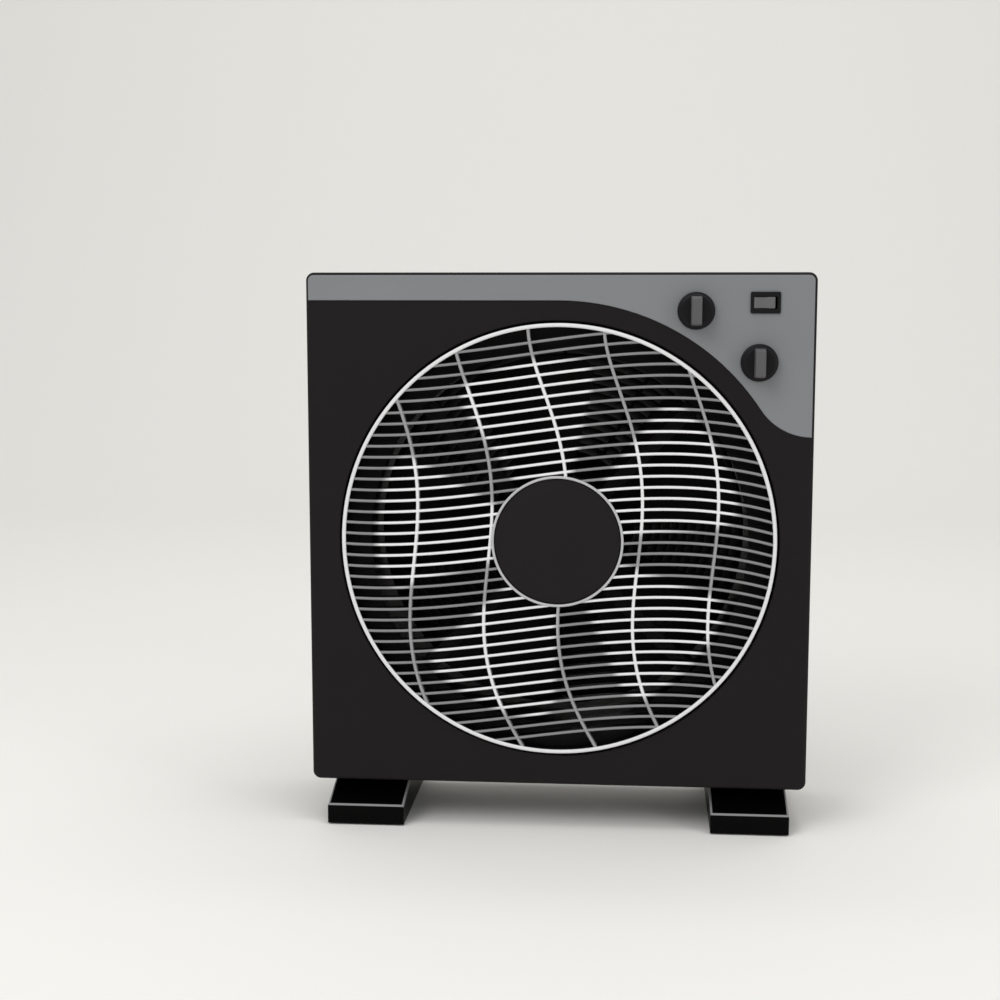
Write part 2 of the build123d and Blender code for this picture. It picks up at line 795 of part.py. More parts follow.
with BuildPart() as motor_mount_screws:
    pan_screws(mount_places, rear_y + guard_thick, rear_y - mount_screw_depth + 0.5, 1)
save(motor_mount_screws.part, "motor_mount_screws")


# ---------------------------------------------------------------- switches behind the panel

inner_face = front_y + face_thick


def dial_switch(size, back, place, corner):
    """Switch box with a threaded bush through the panel and a hole for its stem."""
    block(size, size, inner_face, back, [place], corner=corner)
    drum(bush_hole - fit_gap, panel_front - 2.4, inner_face, [place])
    drum(stem_radius + running_gap, panel_front - 3, stem_back + 1, [place], Mode.SUBTRACT)


with BuildPart() as timer_body:
    dial_switch(timer_size, timer_back, timer_place, 4.0)
save(timer_body.part, "timer_body")

with BuildPart() as speed_switch_body:
    dial_switch(speed_size, speed_back, speed_place, 10.0)
save(speed_switch_body.part, "speed_switch_body")

with BuildPart() as switch_nuts:
    with BuildSketch(facing(panel_front)):
        with Locations(timer_place, speed_place):
            RegularPolygon(7.2, 6)
            Circle(bush_hole - fit_gap + press_gap, mode=Mode.SUBTRACT)
    extrude(amount=2.0)
save(switch_nuts.part, "switch_nuts")

with BuildPart() as rocker_switch_body:
    block(rocker_width, rocker_height, panel_front - rocker_bezel, panel_front, [rocker_place], corner=1.2)
    fillet(rocker_switch_body.faces().sort_by(Axis.Y)[0].edges(), 0.6)
    block(rocker_body_width, rocker_body_height, panel_front, rocker_back, [rocker_place])
    block(
        rocker_pocket_width,
        rocker_pocket_height,
        panel_front - 3,
        rocker_pocket_back,
        [rocker_place],
        Mode.SUBTRACT,
    )
    with BuildSketch(Plane((rocker_place[0], rocker_pivot_y, rocker_place[1]))):
        Circle(button_pin_radius + thread_gap)
    extrude(amount=button_height / 2 + 2 * button_pin_length, both=True, mode=Mode.SUBTRACT)
save(rocker_switch_body.part, "rocker_switch_body")

with BuildPart() as rocker_button:
    pivot = Plane(
        origin=(rocker_place[0], rocker_pivot_y, rocker_place[1]),
        x_dir=Vector(1, 0, 0).rotate(Axis.Z, rocker_rest),
        z_dir=(0, 0, 1),
    )
    with BuildSketch(pivot):
        with BuildLine():
            Polyline((-button_half, -1.0), (-4.0, 3.5), (4.0, 3.5), (button_half, -1.0), (button_half, -4.2))
            ThreePointArc((button_half, -4.2), (0, -2.9), (-button_half, -4.2))
            Line((-button_half, -4.2), (-button_half, -1.0))
        make_face()
    extrude(amount=button_height / 2, both=True)
    with BuildSketch(pivot):
        Circle(button_pin_radius)
    extrude(amount=button_height / 2 + button_pin_length, both=True)
save(rocker_button.part, "rocker_button")


def knob(place):
    """Round knob with a pocket for the nut and a hole for the stem."""
    drum(knob_radius, knob_front, knob_back, [place])
    drum(knob_pocket_radius, knob_back - knob_pocket_depth, knob_back + 1, [place], Mode.SUBTRACT)


with BuildPart() as timer_knob:
    knob(timer_place)
    fillet(timer_knob.faces().sort_by(Axis.Y)[0].edges(), knob_round)
    drum(stem_radius + press_gap, knob_front - 1, knob_back, [timer_place], Mode.SUBTRACT)
save(timer_knob.part, "timer_knob")

with BuildPart() as speed_knob:
    knob(speed_place)
    fillet(speed_knob.faces().sort_by(Axis.Y)[0].edges(), knob_round)
    drum(stem_radius + press_gap, knob_front - 1, knob_back, [speed_place], Mode.SUBTRACT)
save(speed_knob.part, "speed_knob")

with BuildPart() as timer_knob_grip:
    block(grip_width, grip_length, grip_front, knob_front, [timer_place], corner=grip_corner)
    fillet(timer_knob_grip.faces().sort_by(Axis.Y)[0].edges(), knob_round)
    drum(stem_radius + press_gap, stem_front, knob_front + 1, [timer_place], Mode.SUBTRACT)
save(timer_knob_grip.part, "timer_knob_grip")

with BuildPart() as speed_knob_grip:
    block(grip_width, grip_length, grip_front, knob_front, [speed_place], corner=grip_corner)
    fillet(speed_knob_grip.faces().sort_by(Axis.Y)[0].edges(), knob_round)
    drum(stem_radius + press_gap, stem_front, knob_front + 1, [speed_place], Mode.SUBTRACT)
save(speed_knob_grip.part, "speed_knob_grip")

with BuildPart() as timer_shaft:
    drum(stem_radius, stem_front, stem_back, [timer_place])
save(timer_shaft.part, "timer_shaft")

with BuildPart() as speed_shaft:
    drum(stem_radius, stem_front, stem_back, [speed_place])
save(speed_shaft.part, "speed_shaft")


# ---------------------------------------------------------------- electrical parts in the shell

capacitor_place = (-112.0, 390.0)

with BuildPart() as capacitor:
    block(36.0, 24.0, inner_face + 1.5, inner_face + 15.5, [capacitor_place], corner=2.0)
save(capacitor.part, "capacitor")

with BuildPart() as capacitor_clip:
    block(12.0, 27.0, inner_face, inner_face + 17.0, [capacitor_place])
    block(14.0, 24.0, inner_face + 1.5, inner_face + 15.5, [capacitor_place], Mode.SUBTRACT)
save(capacitor_clip.part, "capacitor_clip")

terminal_place = (48.0, 398.0)

with BuildPart() as terminal_block:
    block(40.0, 16.0, inner_face, inner_face + 13.0, [terminal_place], corner=1.0)
    for step in range(4):
        spot = (terminal_place[0] - 15 + 10 * step, terminal_place[1])
        drum(2.5, inner_face + 6, inner_face + 14, [spot], Mode.SUBTRACT)
save(terminal_block.part, "terminal_block")


# ---------------------------------------------------------------- feet and tilt hinge


def foot(side):
    """Foot: two slopes that meet under the body, hollow below, with an ear up to the pivot."""
    half = foot_half_length
    with BuildSketch(Plane.YZ.offset(side * foot_x)) as profile:
        with BuildLine():
            Polyline(
                (-half, foot_base),
                (-half, foot_front_height),
                (-foot_top_half, foot_top),
                (foot_top_half, foot_top),
                (half, foot_front_height),
                (half, foot_base),
                close=True,
            )
        make_face()
    extrude(profile.sketch, amount=foot_width / 2, both=True)


def foot_hollow(side):
    """Cavity under the foot, between its two solid ends."""
    half = foot_cavity_half
    slope = (foot_top - foot_front_height) / (foot_half_length - foot_top_half)
    end_top = foot_front_height + slope * (foot_half_length - half) - foot_wall
    with BuildSketch(Plane.YZ.offset(side * foot_x)) as profile:
        with BuildLine():
            Polyline(
                (-half, 0),
                (-half, end_top),
                (-foot_top_half, foot_top - foot_wall),
                (foot_top_half, foot_top - foot_wall),
                (half, end_top),
                (half, 0),
                close=True,
            )
        make_face()
    extrude(profile.sketch, amount=foot_width / 2 - foot_wall, both=True, mode=Mode.SUBTRACT)


def foot_ear(side):
    """Upright ear with the pivot hole."""
    with BuildSketch(Plane.YZ.offset(side * foot_x)) as profile:
        with Locations((0, (foot_top - foot_wall + pivot_z) / 2)):
            Rectangle(2 * ear_radius, pivot_z - foot_top + foot_wall)
        with Locations((0, pivot_z)):
            Circle(ear_radius)
            Circle(tilt_bolt_radius + tilt_running, mode=Mode.SUBTRACT)
    extrude(profile.sketch, amount=ear_thick / 2, both=True)


def pad_boxes(side, mode, gap=0.0):
    """Two rubber pads, one at each end of the foot."""
    with BuildSketch(Plane.XY) as soles:
        with Locations((side * foot_x, -pad_y), (side * foot_x, pad_y)):
            RectangleRounded(pad_width + 2 * gap, pad_length + 2 * gap, 3)
    extrude(soles.sketch, amount=foot_base + pad_sunk, mode=mode)


with BuildPart() as foot_left:
    foot(-1)
    fillet(foot_left.edges().filter_by(Axis.Z, reverse=True).group_by(Axis.Z)[1:], foot_round)
    foot_hollow(-1)
    pad_boxes(-1, Mode.SUBTRACT, pad_gap)
    foot_ear(-1)
save(foot_left.part, "foot_left")

with BuildPart() as foot_right:
    foot(1)
    fillet(foot_right.edges().filter_by(Axis.Z, reverse=True).group_by(Axis.Z)[1:], foot_round)
    foot_hollow(1)
    pad_boxes(1, Mode.SUBTRACT, pad_gap)
    foot_ear(1)
save(foot_right.part, "foot_right")

with BuildPart() as foot_pads_left:
    pad_boxes(-1, Mode.ADD)
save(foot_pads_left.part, "foot_pads_left")

with BuildPart() as foot_pads_right:
    pad_boxes(1, Mode.ADD)
save(foot_pads_right.part, "foot_pads_right")


def tilt_rod(radius, start, length, mode=Mode.ADD, sides=0):
    """Round or hexagonal rod along X on both tilt hinges, start counted outwards from the ear's middle."""
    for side in (-1, 1):
        plane = Plane(origin=(side * (foot_x + start), 0, pivot_z), x_dir=(0, side, 0), z_dir=(side, 0, 0))
        with BuildSketch(plane) as end:
            if sides:
                RegularPolygon(radius, sides)
            else:
                Circle(radius)
        extrude(end.sketch, amount=length, mode=mode)


lug_outer = ear_thick / 2 + ear_gap + lug_thick

with BuildPart() as tilt_bolts:
    tilt_rod(tilt_bolt_radius, -lug_outer - nut_length - 1, 2 * lug_outer + nut_length + 1)
    tilt_rod(bolt_head_radius, lug_outer, bolt_head)
    tilt_rod(2.5, lug_outer + bolt_head / 2, bolt_head, Mode.SUBTRACT, 6)
save(tilt_bolts.part, "tilt_bolts")

with BuildPart() as tilt_nuts:
    tilt_rod(5.8, -lug_outer - nut_length, nut_length, sides=6)
    tilt_rod(tilt_bolt_radius + press_gap, -lug_outer - nut_length - 1, nut_length + 2, Mode.SUBTRACT)
save(tilt_nuts.part, "tilt_nuts")

with BuildPart() as tilt_washers:
    washer_start = ear_thick / 2 + (ear_gap - washer_thick) / 2
    tilt_rod(washer_radius, washer_start, washer_thick)
    tilt_rod(washer_radius, -washer_start - washer_thick, washer_thick)
    tilt_rod(tilt_bolt_radius + tilt_running, -lug_outer, 2 * lug_outer, Mode.SUBTRACT)
save(tilt_washers.part, "tilt_washers")
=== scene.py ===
import json
import math

import bmesh
import bpy
import numpy as np
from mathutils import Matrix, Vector


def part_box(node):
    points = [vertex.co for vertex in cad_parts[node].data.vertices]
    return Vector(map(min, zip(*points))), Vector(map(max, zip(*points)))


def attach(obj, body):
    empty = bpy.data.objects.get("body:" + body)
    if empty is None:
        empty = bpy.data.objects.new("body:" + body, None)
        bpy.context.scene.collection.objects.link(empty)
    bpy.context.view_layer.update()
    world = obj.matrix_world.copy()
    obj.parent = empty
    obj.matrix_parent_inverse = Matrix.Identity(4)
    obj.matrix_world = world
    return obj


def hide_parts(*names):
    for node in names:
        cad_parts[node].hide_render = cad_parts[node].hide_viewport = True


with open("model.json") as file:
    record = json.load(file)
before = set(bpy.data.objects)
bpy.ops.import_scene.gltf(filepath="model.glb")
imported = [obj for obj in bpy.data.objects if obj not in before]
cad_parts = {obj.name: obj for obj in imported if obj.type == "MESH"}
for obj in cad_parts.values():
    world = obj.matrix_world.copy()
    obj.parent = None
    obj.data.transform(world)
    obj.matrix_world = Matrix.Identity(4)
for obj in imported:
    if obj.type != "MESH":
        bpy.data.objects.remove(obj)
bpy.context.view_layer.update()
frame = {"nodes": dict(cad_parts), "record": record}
nodes = frame["nodes"]
mm = 0.001
scene = bpy.context.scene


# helpers for meshes


# The middle of a CAD node's box: half of the sum of its low and high corners.
def middleOf(node):
    low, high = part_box(node)
    return (low + high) / 2


hub = middleOf("hub_cap")  # the louver, the fan and the motor turn about this line


# Index grid of quads for rows x columns points, closed round where a wrap is asked for.
def quadGrid(rows, columns, wrapRows=False, wrapColumns=False):
    rowSteps, columnSteps = np.arange(rows - (not wrapRows)), np.arange(columns - (not wrapColumns))
    i, j = np.meshgrid(rowSteps, columnSteps, indexing="ij")
    below, beside = (i + 1) % rows, (j + 1) % columns
    corners = (i * columns + j, i * columns + beside, below * columns + beside, below * columns + j)
    return np.stack([corner.ravel() for corner in corners], axis=1)


# Quads that close an end loop whose two halves face each other, as on a flat bar.
def loopCap(count):
    near = np.arange(count // 2 - 1)
    far = count - 1 - near
    return np.stack([near, near + 1, far - 1, far], axis=1)


# A stack of equal loops, rows x columns x 3, joined along and closed at both ends.
def loft(loops):
    rows, columns = loops.shape[:2]
    cap = loopCap(columns)
    faces = [quadGrid(rows, columns, wrapColumns=True), cap, cap + (rows - 1) * columns]
    return loops.reshape(-1, 3), np.concatenate(faces)


# Closed (radius, y) profile turned about the Y axis through place: point = (r cos a, y, r sin a).
def lathe(profile, place, turns=160):
    profile = np.asarray(profile, float)
    angles = np.linspace(0, 2 * np.pi, turns, endpoint=False)[:, None]
    x = place.x + profile[:, 0] * np.cos(angles)
    z = place.z + profile[:, 0] * np.sin(angles)
    y = np.broadcast_to(profile[:, 1], x.shape)
    return np.stack([x, y, z], axis=2).reshape(-1, 3), quadGrid(turns, len(profile), True, True)


# Closed outline with every corner rounded: corners are (a, b, radius), and a radius of 0 stays sharp.
# The arc's middle lies on the bisector, radius / sin(half angle) away from the corner.
def roundedOutline(corners, steps=5):
    spots = np.array([corner[:2] for corner in corners], float)
    outline = []
    for spot, before, after, corner in zip(spots, np.roll(spots, 1, 0), np.roll(spots, -1, 0), corners):
        back = (before - spot) / np.linalg.norm(before - spot)
        ahead = (after - spot) / np.linalg.norm(after - spot)
        half = math.acos(max(-1.0, min(1.0, float(back @ ahead)))) / 2
        if corner[2] <= 0 or half > 1.55:  # sharp, or nearly straight
            outline.append(spot[None, :])
            continue
        reach = corner[2] / math.tan(half)
        start, finish = spot + back * reach, spot + ahead * reach
        middle = spot + (back + ahead) / np.linalg.norm(back + ahead) * corner[2] / math.sin(half)
        share = np.linspace(0, 1, steps)[:, None]
        chord = start + (finish - start) * share - middle
        outline.append(middle + chord / np.linalg.norm(chord, axis=1)[:, None] * corner[2])
    return np.concatenate(outline)


# Joins several (points, faces) lumps into one.
def joined(lumps):
    counts = np.cumsum([0] + [len(points) for points, faces in lumps])
    points = np.concatenate([lump[0] for lump in lumps])
    faces = [faces + count for (_, faces), count in zip(lumps, counts)]
    return points, np.concatenate(faces)


# One mesh object from points and quads, with its faces turned outwards, fastened to its body.
def addPiece(name, lump, body, slotName, stoodFor, sharpAngle=40, attributes=()):
    points, faces = lump
    mesh = bpy.data.meshes.new(name)
    mesh.vertices.add(len(points))
    mesh.vertices.foreach_set("co", np.asarray(points, float).ravel())
    mesh.loops.add(faces.size)
    mesh.loops.foreach_set("vertex_index", faces.astype(np.int32).ravel())
    mesh.polygons.add(len(faces))
    mesh.polygons.foreach_set("loop_start", np.arange(0, faces.size, 4, dtype=np.int32))
    mesh.update(calc_edges=True)
    for label, values in attributes:
        mesh.attributes.new(label, "FLOAT", "POINT").data.foreach_set("value", np.asarray(values, np.float32))
    shell = bmesh.new()
    shell.from_mesh(mesh)
    bmesh.ops.remove_doubles(shell, verts=shell.verts, dist=1e-7)
    bmesh.ops.recalc_face_normals(shell, faces=shell.faces)
    shell.to_mesh(mesh)
    shell.free()
    mesh.polygons.foreach_set("use_smooth", np.ones(len(mesh.polygons), bool))
    mesh.set_sharp_from_angle(angle=math.radians(sharpAngle))
    mesh.materials.append(slotFinish[slotName])
    piece = bpy.data.objects.new(name, mesh)
    scene.collection.objects.link(piece)
    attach(piece, body)
    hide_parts(*stoodFor)
    return piece


# materials


# sRGB hex text to the linear colour that shaders take.
def hexColour(text, shade=1.0):
    coded = np.array([int(text[i:i + 2], 16) for i in (1, 3, 5)]) / 255
    linear = np.where(coded <= 0.04045, coded / 12.92, ((coded + 0.055) / 1.055) ** 2.4)
    return (*np.minimum(linear * shade, 1).tolist(), 1.0)


# Adds one node: settings are its properties, inputs its socket values, links its incoming sockets.
def addNode(tree, kind, inputs=None, links=None, **settings):
    node = tree.nodes.new(kind)
    for key, value in settings.items():
        setattr(node, key, value)
    for key, value in (inputs or {}).items():
        node.inputs[key].default_value = value
    for key, source in (links or {}).items():
        tree.links.new(source, node.inputs[key])
    return node


# A material with its shader's fixed values set, given back with its node tree and that shader.
def newMaterial(name, **settings):
    material = bpy.data.materials.new(name)
    material.use_nodes = True
    shader = material.node_tree.nodes["Principled BSDF"]
    for key, value in settings.items():
        shader.inputs[key.replace("_", " ")].default_value = value
    return material, material.node_tree, shader


# A Mix node's colour sockets are 6 and 7, its factor is 0 and its colour comes out at 2.
cloudRange = {"From Min": 0.3, "From Max": 0.7}  # noise seldom leaves this range


# Injection-moulded plastic: a fine eroded mould texture breaks up the gloss, with slight changes of shade.
def mouldedPlastic(name, look):
    colour, roughness, specular, grainMm, grainHeight, mottle = look
    material, tree, shader = newMaterial(name, IOR=1.52, Specular_IOR_Level=specular)
    place = addNode(tree, "ShaderNodeTexCoord").outputs["Object"]
    noise = addNode(tree, "ShaderNodeTexNoise", {"Scale": 14.0, "Detail": 4.0}, {"Vector": place})
    cloud = noise.outputs["Fac"]
    grainScale = 1 / (grainMm * mm)
    grain = addNode(tree, "ShaderNodeTexNoise", {"Scale": grainScale, "Detail": 2.0}, {"Vector": place})
    amount = addNode(tree, "ShaderNodeMapRange", cloudRange, {"Value": cloud})
    shade = addNode(tree, "ShaderNodeMix", links={0: amount.outputs[0]}, data_type="RGBA")
    shade.inputs[6].default_value = hexColour(colour, 1 - mottle)
    shade.inputs[7].default_value = hexColour(colour, 1 + mottle)
    glossRange = {**cloudRange, "To Min": roughness * 0.96, "To Max": roughness * 1.04}
    gloss = addNode(tree, "ShaderNodeMapRange", glossRange, {"Value": cloud})
    bumpSize = {"Strength": 0.35, "Distance": grainHeight * mm}
    bump = addNode(tree, "ShaderNodeBump", bumpSize, {"Height": grain.outputs["Fac"]})
    tree.links.new(shade.outputs[2], shader.inputs["Base Color"])
    tree.links.new(gloss.outputs[0], shader.inputs["Roughness"])
    tree.links.new(bump.outputs[0], shader.inputs["Normal"])
    return material


# Silver paint on the front edges of black plastic bars: the attribute "coated" carries where the paint is,
# "lit" a painted highlight that mixes the paint from its dull to its bright colour, and fine flakes give it a
# slight sparkle instead of a flat grey.
def silverPaint(name, dullColour, brightColour, bareColour, roughness):
    material, tree, shader = newMaterial(name, Specular_IOR_Level=0.2)
    place = addNode(tree, "ShaderNodeTexCoord").outputs["Object"]
    lit = addNode(tree, "ShaderNodeAttribute", attribute_name="lit").outputs["Fac"]
    coated = addNode(tree, "ShaderNodeAttribute", attribute_name="coated").outputs["Fac"]
    flake = addNode(tree, "ShaderNodeTexVoronoi", {"Scale": 1 / (0.3 * mm)}, {"Vector": place})
    noise = addNode(tree, "ShaderNodeTexNoise", {"Scale": 22.0, "Detail": 3.0}, {"Vector": place})
    coats = {6: hexColour(dullColour), 7: hexColour(brightColour)}
    coat = addNode(tree, "ShaderNodeMix", coats, {0: lit}, data_type="RGBA").outputs[2]
    sparkleRange = {"To Min": 0.9, "To Max": 1.1}
    sparkle = addNode(tree, "ShaderNodeMapRange", sparkleRange, {"Value": flake.outputs["Color"]}).outputs[0]
    shade = addNode(tree, "ShaderNodeVectorMath", {}, {0: coat, 1: sparkle}, operation="MULTIPLY").outputs[0]
    glossRange = {**cloudRange, "To Min": roughness * 0.85, "To Max": roughness * 1.15}
    gloss = addNode(tree, "ShaderNodeMapRange", glossRange, {"Value": noise.outputs["Fac"]})
    bare = {6: hexColour(bareColour)}
    skin = addNode(tree, "ShaderNodeMix", bare, {0: coated, 7: shade}, data_type="RGBA")
    tree.links.new(skin.outputs[2], shader.inputs["Base Color"])
    tree.links.new(gloss.outputs[0], shader.inputs["Roughness"])
    return material


# Black foot plastic whose rounded edges are painted grey, a painted highlight where a glossy edge would catch
# the light. A point is on an edge when its normal in the object's own axes is close to none of the flat
# faces' normals: sides, ends, slopes, top.
def edgeHighlightPlastic(name, colour, edgeHighlightColour, slope):
    material, tree, shader = newMaterial(name, IOR=1.52, Specular_IOR_Level=0.05, Roughness=0.35)
    normal = addNode(tree, "ShaderNodeTexCoord").outputs["Normal"]
    facing = addNode(tree, "ShaderNodeVectorMath", {}, {0: normal}, operation="ABSOLUTE").outputs[0]
    nearest = None
    for flat in ((1, 0, 0), (0, 1, 0), (0, math.sin(slope), math.cos(slope)), (0, 0, 1)):
        dot = addNode(tree, "ShaderNodeVectorMath", {1: flat}, {0: facing}, operation="DOT_PRODUCT")
        along = dot.outputs["Value"]
        if nearest is None:
            nearest = along
        else:
            greater = addNode(tree, "ShaderNodeMath", {}, {0: nearest, 1: along}, operation="MAXIMUM")
            nearest = greater.outputs[0]
    edgeRange = {"From Min": 0.999, "From Max": 0.985, "To Min": 0.0, "To Max": 1.0}
    # painted highlight: the grey mixed in along the rounded edges
    paintedEdgeHighlight = addNode(tree, "ShaderNodeMapRange", edgeRange, {"Value": nearest}).outputs[0]
    shades = {6: hexColour(colour), 7: hexColour(edgeHighlightColour)}
    shade = addNode(tree, "ShaderNodeMix", shades, {0: paintedEdgeHighlight}, data_type="RGBA")
    tree.links.new(shade.outputs[2], shader.inputs["Base Color"])
    return material


# Plated or rolled sheet steel: fine streaks along the rolling direction and a cloudy surface.
def rolledSteel(name, colour, roughness, streakMm):
    material, tree, shader = newMaterial(name, Metallic=1.0)
    place = addNode(tree, "ShaderNodeTexCoord").outputs["Object"]
    stretched = addNode(tree, "ShaderNodeMapping", {"Scale": (1.0, 0.08, 1.0)}, {"Vector": place}).outputs[0]
    streakScale = 1 / (streakMm * mm)
    streak = addNode(tree, "ShaderNodeTexNoise", {"Scale": streakScale, "Detail": 3.0}, {"Vector": stretched})
    cloud = addNode(tree, "ShaderNodeTexNoise", {"Scale": 60.0, "Detail": 4.0}, {"Vector": place})
    amount = addNode(tree, "ShaderNodeMapRange", cloudRange, {"Value": cloud.outputs["Fac"]}).outputs[0]
    shades = {6: hexColour(colour, 0.82), 7: hexColour(colour, 1.1)}
    shade = addNode(tree, "ShaderNodeMix", shades, {0: amount}, data_type="RGBA")
    glossRange = {**cloudRange, "To Min": roughness * 0.75, "To Max": roughness * 1.25}
    gloss = addNode(tree, "ShaderNodeMapRange", glossRange, {"Value": streak.outputs["Fac"]})
    tree.links.new(shade.outputs[2], shader.inputs["Base Color"])
    tree.links.new(gloss.outputs[0], shader.inputs["Roughness"])
    return material


# colour, roughness, specular level, grain size in mm, grain height in mm, change of shade
plasticLooks = {
    "absBlackBody": ("#191617", 0.55, 0.12, 0.6, 0.02, 0.06),  # warm black, nearly matt
    "absGreyPanel": ("#7E8083", 0.5, 0.2, 0.45, 0.012, 0.02),  # even cool grey
    "ppBlackGuard": ("#1E1C1D", 0.6, 0.1, 0.7, 0.02, 0.08),  # slightly waxy black
    "absBlackBlade": ("#0B0B0C", 0.5, 0.1, 0.9, 0.01, 0.08),  # deep black that stays in the shade
    "absBlackCap": ("#191617", 0.5, 0.14, 0.5, 0.012, 0.05),  # smoother black with a soft sheen
    "absBlackKnob": ("#141215", 0.45, 0.14, 0.45, 0.015, 0.06),  # satin black, worn by fingers
    "absGreyGrip": ("#565658", 0.45, 0.25, 0.4, 0.012, 0.04),  # mid grey, satin
    "nylonBlackBezel": ("#101011", 0.45, 0.15, 0.4, 0.012, 0.06),  # dark frame round the button
    "nylonGreyButton": ("#646466", 0.45, 0.25, 0.4, 0.01, 0.04),  # mid grey, a little glossier
    "rubberPad": ("#1E1E1E", 0.8, 0.2, 0.5, 0.05, 0.08),  # matt soft black
    "phenolicSwitch": ("#3A3A3C", 0.5, 0.4, 0.5, 0.02, 0.08),  # dark grey with a hard gloss
    "nylonTerminal": ("#DDDAD2", 0.45, 0.4, 0.5, 0.02, 0.04),  # off-white, a little waxy
}
# colour, roughness, streak width in mm
steelLooks = {
    "zincSteel": ("#C4C4C6", 0.34, 0.25),  # bright plating on screws
    "blackedSteel": ("#1C1C1E", 0.5, 0.25),  # dark oxide that hides behind the louver
    "sheetSteel": ("#B4B5B8", 0.4, 0.4),  # plain grey pressings
    "laminatedSteel": ("#77787A", 0.5, 0.5),  # dull stacked sheets
    "enamelledCopper": ("#B4582A", 0.3, 0.4),  # glossy red-brown wire
    "sinteredBronze": ("#A5814A", 0.45, 0.25),  # grainy yellow-brown
}
finishes = {name: mouldedPlastic(name, look) for name, look in plasticLooks.items()}
finishes.update({name: rolledSteel(name, *look) for name, look in steelLooks.items()})
# the grey on the feet's rounded edges is a painted highlight
footPlan = {"slopeRise": 14.6, "slopeRun": 52.0, "colour": "#040404", "edgeHighlightColour": "#8A8A8C"}
footSlope = math.atan2(footPlan["slopeRise"], footPlan["slopeRun"])
footColours = footPlan["colour"], footPlan["edgeHighlightColour"]
finishes["absFootEdgeHighlight"] = edgeHighlightPlastic("absFootEdgeHighlight", *footColours, footSlope)
# bright is the paint's colour where the painted highlight is full, dull where there is none
silverPlan = {"dull": "#88888A", "bright": "#EAEAEC", "bare": "#0C0C0C", "roughness": 0.42}
finishes["silverPaint"] = silverPaint("silverPaint", *silverPlan.values())
slotFinish = {
    "body_black": finishes["absBlackBody"],
    "panel_grey": finishes["absGreyPanel"],
    "guard_black": finishes["ppBlackGuard"],
    "blade_black": finishes["absBlackBlade"],
    "louver_silver": finishes["silverPaint"],
    "cap_black": finishes["absBlackCap"],
    "knob_black": finishes["absBlackKnob"],
    "grip_grey": finishes["absGreyGrip"],
    "bezel_black": finishes["nylonBlackBezel"],
    "button_grey": finishes["nylonGreyButton"],
    "foot_black": finishes["absFootEdgeHighlight"],
    "pad_rubber": finishes["rubberPad"],
    "gland_rubber": finishes["rubberPad"],
    "switch_plastic": finishes["phenolicSwitch"],
    "terminal_white": finishes["nylonTerminal"],
    "friction_nylon": finishes["nylonTerminal"],
    "screw_steel": finishes["zincSteel"],
    "motor_steel": finishes["sheetSteel"],
    "lamination_steel": finishes["laminatedSteel"],
    "winding_copper": finishes["enamelledCopper"],
    "bronze": finishes["sinteredBronze"],
}
for part in frame["record"]["subparts"]:
    nodeMesh = nodes[part["node"]].data
    nodeMesh.materials.clear()
    nodeMesh.materials.append(slotFinish[part["material_slot"]])
# the steel behind the louver is blacked, so that nothing shines between the slats
for shaded in ("louver_bracket_screws", "louver_motor_body", "louver_motor_lid", "blade_nut"):
    nodes[shaded].data.materials.clear()
    nodes[shaded].data.materials.append(finishes["blackedSteel"])
print("materials are on the CAD nodes")


# louver wheel: an outer ring and a hub ring joined by long curved slats and upright ribs

louverPlan = {
    "slats": 37, "slatPitch": 8.15 * mm, "firstSlat": 148.6 * mm, "slatWidth": 2.0 * mm,
    "slatLean": [(-150.0, -13.7), (-75.0, -10.2), (0.0, 0.0), (75.0, 6.6), (150.0, -0.7)],
    "slatInset": 1.0 * mm, "slatDepth": 9.0 * mm, "barStep": 2.6 * mm, "paintDepth": 1.4 * mm,
    "ribs": 5, "ribPitch": 55.15 * mm, "ribMiddle": 7.35 * mm, "ribWidth": 2.3 * mm, "ribProud": 0.15 * mm,
    "ribLean": [
        (150.0, -29.0), (120.0, -20.2), (90.0, -11.5), (35.0, 0.0),
        (-58.0, -7.0), (-102.0, -1.5), (-148.0, 18.0),
    ],
    "ringWidth": 2.9 * mm, "ringDepth": 11.0 * mm, "ringRound": 1.3 * mm,
    "hubRadius": 48.7 * mm, "hubWidth": 1.9 * mm, "hubRound": 0.85 * mm,
    "discFront": 3.5 * mm, "discBack": 6.5 * mm, "bossRadius": 8.0 * mm, "bossBack": 14.5 * mm,
    "bore": 3.1 * mm,
    # lit: a painted highlight in five wedges on the slats and ribs; the ring and the hub each take one fixed
    # brightness
    "litWedges": 5, "litFirst": 29.5, "litHalfAngle": 23.5,
    "litReach": 134.0 * mm, "litCorner": 16.0 * mm, "litBlur": 5.0 * mm,
    "ribLeastLit": 0.15, "ringLit": 0.9, "hubLit": 0.45,
}


# Painted highlight on the paint at a place on the wheel: 1 inside five wedges with rounded outer corners, 0
# outside.
def paintedHighlightAt(x, z):
    plan = louverPlan
    radius = np.hypot(x, z)
    share = 360 / plan["litWedges"]
    offset = (np.degrees(np.arctan2(z, x)) - plan["litFirst"] + share / 2) % share - share / 2
    acrossEdge = np.radians(plan["litHalfAngle"] - np.abs(offset)) * radius
    outwardEdge = plan["litReach"] - radius
    corner = plan["litCorner"]
    lacking = np.hypot(np.maximum(corner - acrossEdge, 0), np.maximum(corner - outwardEdge, 0))
    atCorner = (acrossEdge < corner) & (outwardEdge < corner)
    inside = np.where(atCorner, corner - lacking, np.minimum(acrossEdge, outwardEdge))
    return np.clip(inside / plan["litBlur"] + 0.5, 0, 1)


